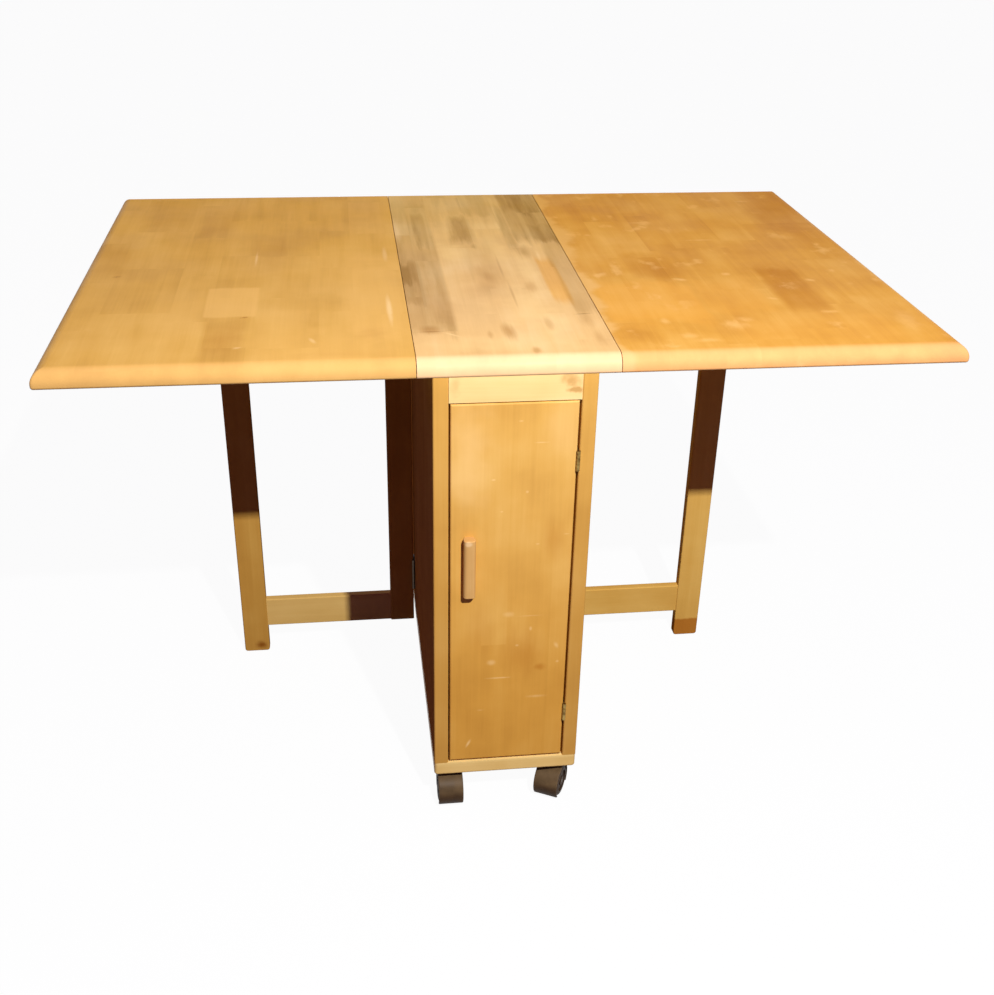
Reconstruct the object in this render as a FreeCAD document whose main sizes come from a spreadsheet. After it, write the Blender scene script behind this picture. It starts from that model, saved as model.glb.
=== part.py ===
"""Folding serving table: a narrow cabinet on casters, a drop leaf on each side and two gate legs.

Millimetres, +Z up. The origin is on the floor under the middle of the top.
The door faces -Y, the leaves reach along -X and +X, and the gates stand out under them.
"""
import FreeCAD, Part
import os
import Sketcher
from FreeCAD import Rotation, Vector

doc = FreeCAD.newDocument("FoldingServingTable")

# The driving dimensions: alias, value, meaning
SIZES = [
    ("top_height", 750, "floor to the face of the top"),
    ("top_thickness", 24, "thickness of the centre section and the leaves"),
    ("top_depth", 796, "front to back of the top"),
    ("leaf_width", 461, "width of one leaf"),
    ("seam_gap", 1, "gap between the centre section and a leaf"),
    ("edge_round", 18, "roundover on the upper edges of the top"),
    ("under_round", 4, "roundover on the lower edges of the top"),
    ("corner_round", 3, "eased corners of the leaves, where two roundovers meet"),
    ("cabinet_width", 216, "width of the cabinet"),
    ("overhang", 32, "reach of the top past the cabinet, front and back"),
    ("centre_overhang", 21, "reach of the centre section past the cabinet, left and right"),
    ("cabinet_lift", 63, "floor to the underside of the bottom board"),
    ("side_thickness", 21, "thickness of a side panel"),
    ("bottom_thickness", 23, "thickness of the bottom board"),
    ("board_round", 5, "plan radius of the bottom board's corners"),
    ("board_under_round", 4, "roundover on the lower edges of the bottom board"),
    ("arris_round", 2.5, "eased outer edges of panels and door"),
    ("back_thickness", 18, "thickness of the back panel"),
    ("cleat_width", 22, "width of a top cleat"),
    ("cleat_height", 24, "height of a top cleat"),
    ("rail_height", 48, "height of the rail above the door"),
    ("door_thickness", 18, "thickness of the door"),
    ("door_gap", 2, "gap above the door and at its pull side"),
    ("door_foot_gap", 4, "gap under the door"),
    ("door_hinge_gap", 2.6, "gap on the door's hinge side"),
    ("handle_length", 92, "length of the door pull"),
    ("handle_width", 17, "width of the pull at its lip"),
    ("handle_neck", 13, "width of the pull at the door"),
    ("handle_depth", 14, "reach of the pull in front of the door"),
    ("handle_lip", 8, "thickness of the pull's lip in front of its undercut"),
    ("handle_round", 5, "roundover on the long edges of the pull's lip"),
    ("handle_end_round", 1.2, "eased edges at the ends of the pull"),
    ("handle_inset", 26, "door edge to the middle of the pull"),
    ("handle_drop", 245, "top of the door opening to the middle of the pull"),
    ("strike_thickness", 1.5, "thickness of the strike plate"),
    ("strike_width", 34, "width of the strike plate"),
    ("strike_height", 12, "height of the strike plate"),
    ("strike_drop", 3, "strike plate below the top of the door"),
    ("catch_gap", 0.3, "strike plate to the face of the catch"),
    ("catch_width", 46, "width of the door catch"),
    ("catch_depth", 15, "depth of the door catch"),
    ("catch_height", 36, "height of the door catch"),
    ("catch_reach", 18, "part of the catch that hangs below the rail"),
    ("catch_inset", 27, "left side panel to the middle of the catch"),
    ("gate_thickness", 18, "thickness of a gate"),
    ("gate_length", 308, "hinge axis to the outer edge of the leg"),
    ("gate_left_y", 75, "front face of the left gate"),
    ("gate_right_y", 53, "front face of the right gate"),
    ("gate_clearance", 0.4, "gate to the underside of the leaf"),
    ("leg_width", 44, "width of a gate leg"),
    ("stile_width", 42, "width of a gate's inner stile"),
    ("gate_lift", 53, "floor to the underside of a gate's bottom rail"),
    ("bottom_rail_height", 55, "height of a gate's bottom rail"),
    ("top_rail_height", 50, "height of a gate's top rail"),
    ("gate_rail_thickness", 14, "thickness of a gate's rails"),
    ("tenon_length", 16, "length of a rail tenon"),
    ("tenon_thickness", 8, "thickness of a rail tenon"),
    ("tenon_shoulder", 8, "shoulder above and below a tenon"),
    ("mortise_room", 0.1, "room round a tenon and past its end"),
    ("leg_round", 2, "eased long edges of legs and stiles"),
    ("foot_round", 5, "rounded corners at the foot of a leg"),
    ("stop_length", 60, "length of a stop block"),
    ("stop_depth", 20, "front to back of a stop block"),
    ("stop_drop", 14, "height of a stop block"),
    ("stop_gap", 0.3, "open gate to its stop block"),
    ("knuckle_radius", 2.5, "outer radius of the gate and door hinge knuckles"),
    ("flap_radius", 3, "outer radius of the leaf hinge knuckles"),
    ("knuckle_room", 0.3, "knuckle to the wood and to the other half"),
    ("pin_radius", 1.2, "radius of the hinge pins"),
    ("pin_room", 0.05, "radial room of a pin in its knuckles"),
    ("leaf_plate", 1.5, "thickness of a leaf hinge's plates"),
    ("gate_plate", 1.2, "thickness of a gate hinge's plates"),
    ("door_plate", 1, "thickness of a door hinge's plates"),
    ("leaf_hinge_length", 66, "length of a leaf hinge"),
    ("leaf_hinge_width", 34, "width of the plate under the leaf"),
    ("leaf_hinge_inset", 88, "end of the top to the middle of a leaf hinge"),
    ("gate_hinge_length", 60, "length of a gate hinge"),
    ("gate_hinge_rise", 97, "underside of a gate to its lower hinge"),
    ("gate_hinge_drop", 86, "underside of the top to the upper gate hinge"),
    ("door_hinge_length", 30, "length of a door hinge"),
    ("door_hinge_width", 14, "width of a door hinge's plate"),
    ("door_hinge_rise", 86, "bottom board to the lower door hinge"),
    ("door_hinge_drop", 88, "top of the door opening to the upper door hinge"),
    ("caster_inset_x", 25, "cabinet side to a caster stem"),
    ("caster_inset_y", 36, "cabinet end to a caster stem"),
    ("caster_plate", 40, "side of a caster's square plate"),
    ("caster_plate_thickness", 2.5, "thickness of a caster plate"),
    ("caster_plate_round", 5, "corner radius of a caster plate"),
    ("stem_radius", 4, "radius of a caster stem"),
    ("stem_length", 11, "length of a caster stem below its plate"),
    ("stem_room", 0.05, "radial room of a stem in its boss"),
    ("boss_radius", 9, "radius of the hood's boss round the stem"),
    ("boss_height", 16, "height of the hood's boss"),
    ("hood_skirt", 9, "floor to the lower edge of a hood"),
    ("hood_round", 1.6, "roundover on the outer edges of a hood"),
    ("swivel_room", 0.6, "caster plate to the top of the boss"),
    ("trail", 17, "stem axis to axle"),
    ("wheel_radius", 25, "radius of a caster wheel"),
    ("wheel_width", 16.5, "width of one wheel"),
    ("wheel_round", 6, "roundover on the outer edge of a wheel's tread"),
    ("wheel_inner_round", 1.5, "roundover on the inner edge of a wheel's tread"),
    ("wheel_dish", 2.5, "depth of the dish in a wheel's outer face"),
    ("dish_radius", 17, "radius of the dish"),
    ("hub_radius", 7, "radius of the hub inside the dish"),
    ("wheel_room", 0.8, "wheel to the hood"),
    ("web_thickness", 4, "wall of the hood between the wheels"),
    ("web_room", 0.4, "wheel to that wall"),
    ("hood_wall", 2.4, "thickness of the hood over the wheels"),
    ("axle_radius", 3, "radius of an axle"),
    ("axle_room", 0.05, "radial room of an axle in the hood and the wheels"),
    ("turn_front_left", 0, "front left caster, turned about its stem"),
    ("turn_front_right", -28, "front right caster, turned about its stem"),
    ("turn_back_left", 152, "back left caster, turned about its stem"),
    ("turn_back_right", -165, "back right caster, turned about its stem"),
]

sheet = doc.addObject("Spreadsheet::Sheet", "Sizes")
for row, (alias, value, meaning) in enumerate(SIZES, start=1):
    sheet.set(f"A{row}", meaning)
    sheet.set(f"B{row}", str(value))
    sheet.setAlias(f"B{row}", alias)
doc.recompute()


def of(text):
    """An expression in the sheet's aliases, with each alias given its sheet."""
    for alias in sorted((name for name, _, _ in SIZES), key=len, reverse=True):
        text = text.replace("@" + alias, "Sizes." + alias)
    return text


# Places that several pieces share
UNDERSIDE = of("(@top_height - @top_thickness)")
HALF_DEPTH = of("(@top_depth / 2)")
HALF_CENTRE = of("(@cabinet_width / 2 + @centre_overhang)")
HALF_CABINET = of("(@cabinet_width / 2)")
INNER_SIDE = of("(@cabinet_width / 2 - @side_thickness)")
CABINET_END = of("(@top_depth / 2 - @overhang)")
FLOOR_BOARD = of("(@cabinet_lift + @bottom_thickness)")
DOOR_TOP = of(f"({UNDERSIDE} - @rail_height)")
RAIL_THICKNESS = of("(@door_thickness + @strike_thickness + @catch_gap)")
LEAF_AXIS_X = of(f"({HALF_CENTRE} + @seam_gap / 2)")
LEAF_AXIS_Z = of(f"({UNDERSIDE} - @flap_radius - @knuckle_room)")
SHORT_PLATE = of(f"({LEAF_AXIS_X} - {HALF_CABINET} - @flap_radius - 2 * @knuckle_room)")
GATE_OFFSET = of("(@knuckle_radius + @knuckle_room)")
GATE_AXIS_X = of(f"({HALF_CABINET} + {GATE_OFFSET})")
GATE_TOP = of(f"({UNDERSIDE} - @gate_clearance)")
DOOR_AXIS_X = of(f"({INNER_SIDE} - @door_hinge_gap / 2)")
DOOR_AXIS_Y = of(f"(-{CABINET_END} - {GATE_OFFSET})")
CATCH_X = of(f"(@catch_inset - {INNER_SIDE})")
CASTER_WIDTH = of("(@web_thickness + 2 * (@web_room + @wheel_width))")

NEAR = 1e-4
KNUCKLES = 3
UP = Vector(0, 0, 1)
QUARTER_TURN = Rotation(UP, 90)

pieces = []


def size(alias):
    """The number in one cell of the sheet."""
    return float(sheet.get(alias))


def place(item, x="0", y="0", z="0", rotation=Rotation()):
    """Put an object at expressions for its place, turned by a fixed rotation."""
    item.Placement.Rotation = rotation
    for axis, expression in zip("xyz", (x, y, z)):
        item.setExpression(f"Placement.Base.{axis}", of(expression))


def keep(item, label):
    """Name a finished sub-part."""
    item.Label = label
    pieces.append(item)
    return item


def mirrored(side, start, width):
    """The low corner of a span that starts at a distance from the middle plane, on either side."""
    return f"({start})" if side > 0 else f"(-({start}) - ({width}))"


# Sketches and features
def new_body(name):
    return doc.addObject("PartDesign::Body", name)


def sketch_on(body, role, x="0", y="0", z="0"):
    """A sketch on one of the body's own origin planes, moved by expressions in the plane's frame."""
    sketch = body.newObject("Sketcher::SketchObject", "Outline")
    plane = next(item for item in body.Origin.OriginFeatures if item.Role == role)
    sketch.AttachmentSupport = (plane, [""])
    sketch.MapMode = "FlatFace"
    for axis, expression in zip("xyz", (x, y, z)):
        sketch.setExpression(f"AttachmentOffset.Base.{axis}", of(expression))
    return sketch


def drive(sketch, name, constraint, expression):
    """Add a named dimension that follows an expression."""
    index = sketch.addConstraint(constraint)
    sketch.renameConstraint(index, name)
    sketch.setExpression(f"Constraints.{name}", of(expression))


def polygon(sketch, points):
    """Close straight lines through the points, and join their ends."""
    corners = [Vector(x, y, 0) for x, y in points]
    count = len(corners)
    lines = [Part.LineSegment(corners[n], corners[(n + 1) % count]) for n in range(count)]
    sketch.addGeometry(lines, False)
    for n in range(count):
        sketch.addConstraint(Sketcher.Constraint("Coincident", n, 2, (n + 1) % count, 1))


def rectangle(sketch, width, height):
    """A rectangle from the sketch's origin."""
    polygon(sketch, [(0, 0), (1, 0), (1, 1), (0, 1)])
    for line in (0, 2):
        sketch.addConstraint(Sketcher.Constraint("Horizontal", line))
    for line in (1, 3):
        sketch.addConstraint(Sketcher.Constraint("Vertical", line))
    sketch.addConstraint(Sketcher.Constraint("Coincident", 0, 1, -1, 1))
    drive(sketch, "width", Sketcher.Constraint("DistanceX", 0, 1, 0, 2, 1.0), width)
    drive(sketch, "height", Sketcher.Constraint("DistanceY", 1, 1, 1, 2, 1.0), height)


def circle(sketch, radius):
    """A circle about the sketch's origin."""
    index = sketch.addGeometry(Part.Circle(Vector(0, 0, 0), Vector(0, 0, 1), 1.0), False)
    sketch.addConstraint(Sketcher.Constraint("Coincident", index, 3, -1, 1))
    drive(sketch, "radius", Sketcher.Constraint("Radius", index, 1.0), radius)


def pad(body, sketch, length, reverse=False, both_ways=False):
    feature = body.newObject("PartDesign::Pad", "Pad")
    feature.Profile = sketch
    feature.setExpression("Length", of(length))
    feature.Reversed = reverse
    feature.Midplane = both_ways


def pocket(body, sketch, depth, reverse=False, both_ways=False):
    """Cut a sketch to a depth, and make sure that it cut."""
    doc.recompute()
    before = body.Shape.Volume
    feature = body.newObject("PartDesign::Pocket", "Pocket")
    feature.Profile = sketch
    feature.setExpression("Length", of(depth))
    feature.Reversed = reverse
    feature.Midplane = both_ways
    doc.recompute()
    if body.Shape.Volume >= before - NEAR:
        raise RuntimeError(f"{body.Label}: a pocket cut nothing")


def round_edges(body, radius, wanted):
    """Fillet the edges of a body that a test on an edge's box picks out."""
    doc.recompute()
    base = body.Tip
    names = [f"Edge{n}" for n, edge in enumerate(base.Shape.Edges, start=1) if wanted(edge.BoundBox)]
    feature = body.newObject("PartDesign::Fillet", "Fillet")
    feature.Base = (base, names)
    feature.setExpression("Radius", of(radius))
    doc.recompute()


def flat_at(low, high, value):
    """Whether an edge's box lies in one plane of an axis."""
    return abs(low - value) < NEAR and abs(high - value) < NEAR


def upright(box):
    return box.XLength < NEAR and box.YLength < NEAR


def board(label, low, dims):
    """A squared board as a padded rectangle, kept as a sub-part."""
    body = new_body(label)
    outline = sketch_on(body, "XY_Plane")
    rectangle(outline, dims[0], dims[1])
    pad(body, outline, dims[2])
    place(body, *low)
    return keep(body, label)


# The top
def round_top_edges(body, seams):
    """Round the edges of a top section, apart from those along its seams."""
    def outer(box):
        return not any(flat_at(box.XMin, box.XMax, seam) for seam in seams)
    thickness = size("top_thickness")
    round_edges(body, "@edge_round", lambda box: flat_at(box.ZMin, box.ZMax, thickness) and outer(box))
    round_edges(body, "@under_round", lambda box: flat_at(box.ZMin, box.ZMax, 0) and outer(box))


def centre_top():
    body = board("centre_top", (f"-{HALF_CENTRE}", f"-{HALF_DEPTH}", UNDERSIDE),
                 (f"2 * {HALF_CENTRE}", "@top_depth", "@top_thickness"))
    round_top_edges(body, (0, size("cabinet_width") + 2 * size("centre_overhang")))


def leaf(side, name):
    low_x = mirrored(side, f"{HALF_CENTRE} + @seam_gap", "@leaf_width")
    body = board(f"leaf_{name}", (low_x, f"-{HALF_DEPTH}", UNDERSIDE),
                 ("@leaf_width", "@top_depth", "@top_thickness"))
    seam, outer = (0, size("leaf_width")) if side > 0 else (size("leaf_width"), 0)
    round_top_edges(body, (seam,))
    reach = size("edge_round") + NEAR
    round_edges(body, "@corner_round", lambda box: abs(box.Center.x - outer) < reach
                and min(box.Center.y, size("top_depth") - box.Center.y) < reach)


def stop_block(side, name, gate_y):
    """The block under a leaf that the open gate's leg comes to rest against."""
    middle = f"{GATE_AXIS_X} + @gate_length - @leg_width / 2"
    low_x = mirrored(side, f"{middle} - @stop_length / 2", "@stop_length")
    low_y = f"{gate_y} + @gate_thickness + @stop_gap"
    body = board(f"stop_block_{name}", (low_x, low_y, f"{UNDERSIDE} - @stop_drop"),
                 ("@stop_length", "@stop_depth", "@stop_drop"))
    round_edges(body, "@leg_round", lambda box: flat_at(box.ZMin, box.ZMax, 0))


# The cabinet
def side_panel(side, name):
    low_x = mirrored(side, INNER_SIDE, "@side_thickness")
    body = board(f"side_panel_{name}", (low_x, f"-{CABINET_END}", FLOOR_BOARD),
                 ("@side_thickness", f"2 * {CABINET_END}", f"{UNDERSIDE} - {FLOOR_BOARD}"))
    round_edges(body, "@arris_round", upright)


def bottom_board():
    body = board("bottom_board", (f"-{HALF_CABINET}", f"-{CABINET_END}", "@cabinet_lift"),
                 ("@cabinet_width", f"2 * {CABINET_END}", "@bottom_thickness"))
    round_edges(body, "@board_round", upright)
    round_edges(body, "@board_under_round", lambda box: flat_at(box.ZMin, box.ZMax, 0))


def front_top_rail():
    board("front_top_rail", (f"-{INNER_SIDE}", f"-{CABINET_END}", DOOR_TOP),
          (f"2 * {INNER_SIDE}", RAIL_THICKNESS, "@rail_height"))


def back_panel():
    board("back_panel", (f"-{INNER_SIDE}", f"{CABINET_END} - @back_thickness", FLOOR_BOARD),
          (f"2 * {INNER_SIDE}", "@back_thickness", f"{UNDERSIDE} - {FLOOR_BOARD}"))


def top_cleat(side, name):
    """A batten between the front rail and the back panel, screwed to the side panel and the top."""
    low_x = mirrored(side, f"{INNER_SIDE} - @cleat_width", "@cleat_width")
    low_y = f"-{CABINET_END} + {RAIL_THICKNESS}"
    length = f"2 * {CABINET_END} - {RAIL_THICKNESS} - @back_thickness"
    board(f"top_cleat_{name}", (low_x, low_y, f"{UNDERSIDE} - @cleat_height"),
          ("@cleat_width", length, "@cleat_height"))


def door_catch():
    """The magnetic catch behind the rail, with its face where the strike plate comes to rest."""
    body = board("door_catch",
                 (f"{CATCH_X} - @catch_width / 2", f"-{CABINET_END} + {RAIL_THICKNESS}",
                  f"{DOOR_TOP} - @catch_reach"),
                 ("@catch_width", "@catch_depth", "@catch_height"))
    back = size("catch_depth")
    round_edges(body, "@arris_round", lambda box: flat_at(box.YMin, box.YMax, back))


# The door
def door_panel():
    body = board("door_panel",
                 (f"-{INNER_SIDE} + @door_gap", f"-{CABINET_END}", f"{FLOOR_BOARD} + @door_foot_gap"),
                 (f"2 * {INNER_SIDE} - @door_gap - @door_hinge_gap", "@door_thickness",
                  f"{DOOR_TOP} - {FLOOR_BOARD} - @door_gap - @door_foot_gap"))
    round_edges(body, "@arris_round", lambda box: flat_at(box.YMin, box.YMax, 0))


def door_handle():
    """A solid wooden pull: a rounded lip on a slightly narrower neck."""
    body = new_body("door_handle")
    outline = sketch_on(body, "XY_Plane")
    half_lip = size("handle_width") / 2
    half_neck = size("handle_neck") / 2
    depth = size("handle_depth")
    lip = depth - size("handle_lip")
    polygon(outline, [(-half_neck, 0), (-half_lip, -lip), (-half_lip, -depth),
                      (half_lip, -depth), (half_lip, -lip), (half_neck, 0)])
    outline.addConstraint(Sketcher.Constraint("Horizontal", 2))
    for line in (1, 3):
        outline.addConstraint(Sketcher.Constraint("Vertical", line))
    outline.addConstraint(Sketcher.Constraint("PointOnObject", 0, 1, -1))
    outline.addConstraint(Sketcher.Constraint("Symmetric", 0, 1, 5, 1, -2))
    outline.addConstraint(Sketcher.Constraint("Symmetric", 1, 1, 4, 1, -2))
    drive(outline, "neck", Sketcher.Constraint("DistanceX", 0, 1, 5, 1, 2 * half_neck), "@handle_neck")
    drive(outline, "face", Sketcher.Constraint("DistanceX", 2, 1, 2, 2, 2 * half_lip), "@handle_width")
    drive(outline, "depth", Sketcher.Constraint("DistanceY", 2, 1, 0, 1, depth), "@handle_depth")
    drive(outline, "lip", Sketcher.Constraint("DistanceY", 1, 2, 1, 1, depth - lip), "@handle_lip")
    pad(body, outline, "@handle_length")
    place(body, f"-{INNER_SIDE} + @door_gap + @handle_inset", f"-{CABINET_END}",
          f"{DOOR_TOP} - @handle_drop - @handle_length / 2")
    keep(body, "door_handle")
    round_edges(body, "@handle_round", lambda box: upright(box) and flat_at(box.YMin, box.YMax, -depth))
    round_edges(body, "@handle_end_round", lambda box: box.ZLength < NEAR and box.YMin < -NEAR)


def strike_plate():
    board("strike_plate",
          (f"{CATCH_X} - @strike_width / 2", f"-{CABINET_END} + @door_thickness",
           f"{DOOR_TOP} - @door_gap - @strike_drop - @strike_height"),
          ("@strike_width", "@strike_thickness", "@strike_height"))


# The gates
def gate(side, name, gate_y):
    """A stile at the hinge and a leg at the outer end, with two rails tenoned between them."""
    stile_start = GATE_AXIS_X
    leg_start = f"{GATE_AXIS_X} + @gate_length - @leg_width"
    stile = board(f"gate_stile_{name}",
                  (mirrored(side, stile_start, "@stile_width"), gate_y, "@gate_lift"),
                  ("@stile_width", "@gate_thickness", f"{GATE_TOP} - @gate_lift"))
    leg = board(f"gate_leg_{name}", (mirrored(side, leg_start, "@leg_width"), gate_y, "0"),
                ("@leg_width", "@gate_thickness", GATE_TOP))
    round_edges(leg, "@foot_round", lambda box: flat_at(box.ZMin, box.ZMax, 0) and box.XLength < NEAR)
    for post in (stile, leg):
        round_edges(post, "@leg_round", upright)
        top = post.Tip.Shape.BoundBox.ZMax
        round_edges(post, "@leg_round", lambda box: flat_at(box.ZMin, box.ZMax, top))
    gate_rail(side, name, gate_y, "bottom", "@gate_lift", "@bottom_rail_height", stile, leg)
    gate_rail(side, name, gate_y, "top", f"{GATE_TOP} - @top_rail_height", "@top_rail_height", stile, leg)


def gate_rail(side, name, gate_y, level, low_z, height, stile, leg):
    """A rail with a tenon at each end, and the mortises for them in the stile and the leg."""
    length = "(@gate_length - @stile_width - @leg_width)"
    start = f"{GATE_AXIS_X} + @stile_width"
    rail_y = f"{gate_y} + (@gate_thickness - @gate_rail_thickness) / 2"
    rail = board(f"gate_{level}_rail_{name}", (mirrored(side, start, length), rail_y, low_z),
                 (length, "@gate_rail_thickness", height))
    round_edges(rail, "@leg_round", lambda box: box.YLength < NEAR and box.ZLength < NEAR)
    tenon_height = f"({height} - 2 * @tenon_shoulder)"
    for end, reverse in ((length, False), ("0", True)):
        outline = sketch_on(rail, "YZ_Plane", "(@gate_rail_thickness - @tenon_thickness) / 2",
                            "@tenon_shoulder", end)
        rectangle(outline, "@tenon_thickness", tenon_height)
        pad(rail, outline, "@tenon_length", reverse=reverse)
    for post, width, post_low, faces_up in ((stile, "@stile_width", "@gate_lift", side > 0),
                                            (leg, "@leg_width", "0", side < 0)):
        outline = sketch_on(post, "YZ_Plane", "(@gate_thickness - @tenon_thickness) / 2 - @mortise_room",
                            f"{low_z} - {post_low} + @tenon_shoulder - @mortise_room",
                            width if faces_up else "0")
        rectangle(outline, "@tenon_thickness + 2 * @mortise_room", f"{tenon_height} + 2 * @mortise_room")
        pocket(post, outline, "@tenon_length + @mortise_room", reverse=not faces_up)


# The hinges
def block(length, width, height, x, y, z):
    item = doc.addObject("Part::Box", "Box")
    for name, expression in (("Length", length), ("Width", width), ("Height", height)):
        item.setExpression(name, of(expression))
    place(item, x, y, z)
    return item


def cylinder(radius, height, z):
    item = doc.addObject("Part::Cylinder", "Cylinder")
    item.setExpression("Radius", of(radius))
    item.setExpression("Height", of(height))
    place(item, z=z)
    return item


def hinge_half(length, radius, thickness, width, face, first):
    """A plate along +X from its knuckles, which turn about Z. The plate's low face is at Y = face.

    The fixed half owns the outer knuckles (first = 0) and the moving half the middle one (first = 1).
    """
    low = f"-({length}) / 2"
    reach = f"({radius} + @knuckle_room)"
    step = f"({length}) / {KNUCKLES}"
    solids = [block(width, thickness, length, reach, face, low)]
    for n in range(first, KNUCKLES, 2):
        knuckle_low = f"{low} + {n} * {step} + @knuckle_room / 2"
        knuckle_height = f"{step} - @knuckle_room"
        solids.append(block(reach, thickness, knuckle_height, "0", face, knuckle_low))
        solids.append(cylinder(radius, knuckle_height, knuckle_low))
    joined = doc.addObject("Part::MultiFuse", "HingeHalf")
    joined.Shapes = solids
    bored = doc.addObject("Part::Cut", "BoredHalf")
    bored.Base = joined
    bored.Tool = cylinder("@pin_radius + @pin_room", length, low)
    return bored


def group(label, members):
    """Separate identical solids kept as one sub-part."""
    item = doc.addObject("Part::Compound", label)
    item.Links = members
    keep(item, label)


def hinge_set(label, places, turns, length, radius, thickness, widths, faces):
    """The fixed halves, moving halves and pins of a row of hinges."""
    fixed, moving, pins = [], [], []
    for spot in places:
        for first, row in ((0, fixed), (1, moving)):
            half = hinge_half(length, radius, thickness, widths[first], faces[first], first)
            place(half, *spot, rotation=turns[first])
            row.append(half)
        holder = doc.addObject("Part::Compound", "Pin")
        holder.Links = [cylinder("@pin_radius", length, f"-({length}) / 2")]
        place(holder, *spot, rotation=turns[0])
        pins.append(holder)
    group(f"{label}_fixed", fixed)
    group(f"{label}_moving", moving)
    group(f"{label}_pins", pins)


def leaf_hinges(side, name):
    """Back-flap hinges under the seam, with the short plate on the overhang beside the cabinet."""
    outwards = Rotation(Vector(1, 0, 0), 90)
    inwards = Rotation(UP, 180) * outwards
    turns = (inwards, outwards) if side > 0 else (outwards, inwards)
    face = "@flap_radius + @knuckle_room - @leaf_plate"
    places = [(f"{side} * {LEAF_AXIS_X}", f"{end} * ({HALF_DEPTH} - @leaf_hinge_inset)", LEAF_AXIS_Z)
              for end in (-1, 1)]
    hinge_set(f"leaf_hinge_{name}", places, turns, "@leaf_hinge_length", "@flap_radius", "@leaf_plate",
              (SHORT_PLATE, "@leaf_hinge_width"), (face, face))


def gate_hinges(side, name, gate_y):
    """Butt hinges between the cabinet side and the stile, with their knuckles in front of the gate."""
    faces = (f"{GATE_OFFSET} - @gate_plate", "0") if side > 0 else (f"-{GATE_OFFSET}", "-@gate_plate")
    places = [(f"{side} * {GATE_AXIS_X}", f"{gate_y} - {GATE_OFFSET}", height)
              for height in ("@gate_lift + @gate_hinge_rise", f"{UNDERSIDE} - @gate_hinge_drop")]
    hinge_set(f"gate_hinge_{name}", places, (QUARTER_TURN, QUARTER_TURN), "@gate_hinge_length",
              "@knuckle_radius", "@gate_plate", ("@gate_thickness", "@gate_thickness"), faces)


def door_hinges():
    """Butt hinges in the gap at the door's right edge, with their knuckles proud of the front."""
    faces = ("-@door_hinge_gap / 2", "@door_hinge_gap / 2 - @door_plate")
    places = [(DOOR_AXIS_X, DOOR_AXIS_Y, height)
              for height in (f"{FLOOR_BOARD} + @door_hinge_rise", f"{DOOR_TOP} - @door_hinge_drop")]
    hinge_set("door_hinge", places, (QUARTER_TURN, QUARTER_TURN), "@door_hinge_length",
              "@knuckle_radius", "@door_plate", ("@door_hinge_width", "@door_hinge_width"), faces)


# The casters
def caster_plate(label, x, y):
    """A square plate under the bottom board."""
    body = new_body(label)
    outline = sketch_on(body, "XY_Plane", "-@caster_plate / 2", "-@caster_plate / 2")
    rectangle(outline, "@caster_plate", "@caster_plate")
    pad(body, outline, "@caster_plate_thickness")
    round_edges(body, "@caster_plate_round", upright)
    place(body, x, y, "@cabinet_lift - @caster_plate_thickness")
    keep(body, label)


def caster_stem(label, x, y):
    """The pin under the middle of a caster plate, which the hood turns on."""
    body = new_body(label)
    outline = sketch_on(body, "XY_Plane")
    circle(outline, "@stem_radius")
    pad(body, outline, "@stem_length", reverse=True)
    place(body, x, y, "@cabinet_lift - @caster_plate_thickness")
    keep(body, label)


def caster_hood(label, x, y, turn):
    """A moulded hood: an arch over both wheels, a web between them and a boss round the stem."""
    body = new_body(label)
    boss_top = "(@cabinet_lift - @caster_plate_thickness - @swivel_room)"
    outer = "(@wheel_radius + @wheel_room + @hood_wall)"
    arch = sketch_on(body, "XZ_Plane", "@trail", "@wheel_radius")
    circle(arch, outer)
    pad(body, arch, CASTER_WIDTH, both_ways=True)
    boss = sketch_on(body, "XY_Plane", z=boss_top)
    circle(boss, "@boss_radius")
    pad(body, boss, "@boss_height", reverse=True)
    open_bottom = sketch_on(body, "XZ_Plane", f"@trail - 2 * {outer}", f"@hood_skirt - 2 * {outer}")
    rectangle(open_bottom, f"4 * {outer}", f"2 * {outer}")
    pocket(body, open_bottom, f"2 * {CASTER_WIDTH}", both_ways=True)
    for reverse, offset in ((False, "-@web_thickness / 2"), (True, "@web_thickness / 2")):
        chamber = sketch_on(body, "XZ_Plane", "@trail", "@wheel_radius", offset)
        circle(chamber, "@wheel_radius + @wheel_room")
        pocket(body, chamber, CASTER_WIDTH, reverse=reverse)
    socket = sketch_on(body, "XY_Plane", z=boss_top)
    circle(socket, "@stem_radius + @stem_room")
    pocket(body, socket, "@stem_length")
    bearing = sketch_on(body, "XZ_Plane", "@trail", "@wheel_radius")
    circle(bearing, "@axle_radius + @axle_room")
    pocket(body, bearing, f"2 * {CASTER_WIDTH}", both_ways=True)
    chamber_width = 2 * (size("wheel_radius") + size("wheel_room"))
    round_edges(body, "@hood_round", lambda box: box.YLength < NEAR and box.XLength > chamber_width + NEAR)
    place(body, x, y, rotation=turn)
    keep(body, label)


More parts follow.
